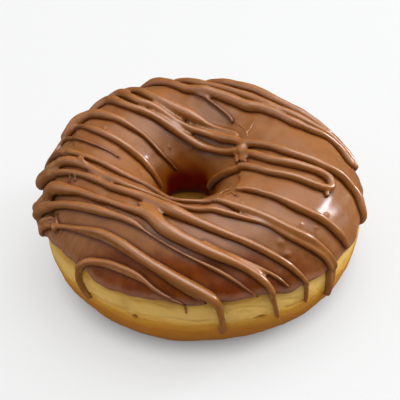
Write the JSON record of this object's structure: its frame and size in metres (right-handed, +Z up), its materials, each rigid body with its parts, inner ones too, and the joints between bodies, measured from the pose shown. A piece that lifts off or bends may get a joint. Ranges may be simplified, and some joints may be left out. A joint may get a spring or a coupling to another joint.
{
  "type": "glazed ring doughnut",
  "caption": "Ring doughnut with a round hole, a thin chocolate glaze over its upper half and down the hole, and loose chocolate drizzle laid across it in diagonal strands.",
  "frame": {"origin": "on the floor plane, under the middle of the whole object's box", "axes": "+Z up out of the flat underside, +X to the right and +Y away from the side where the front strands hang lowest"},
  "size_m": [0.0929, 0.0947, 0.04],
  "materials": {
    "dough": "fried yeast dough, golden brown below with a pale band round its side",
    "icing": "milk chocolate glaze and drizzle, softly glossy"
  },
  "bodies": {
    "root": {"dough": "dough", "icing": "icing"}
  },
  "joints": []
}
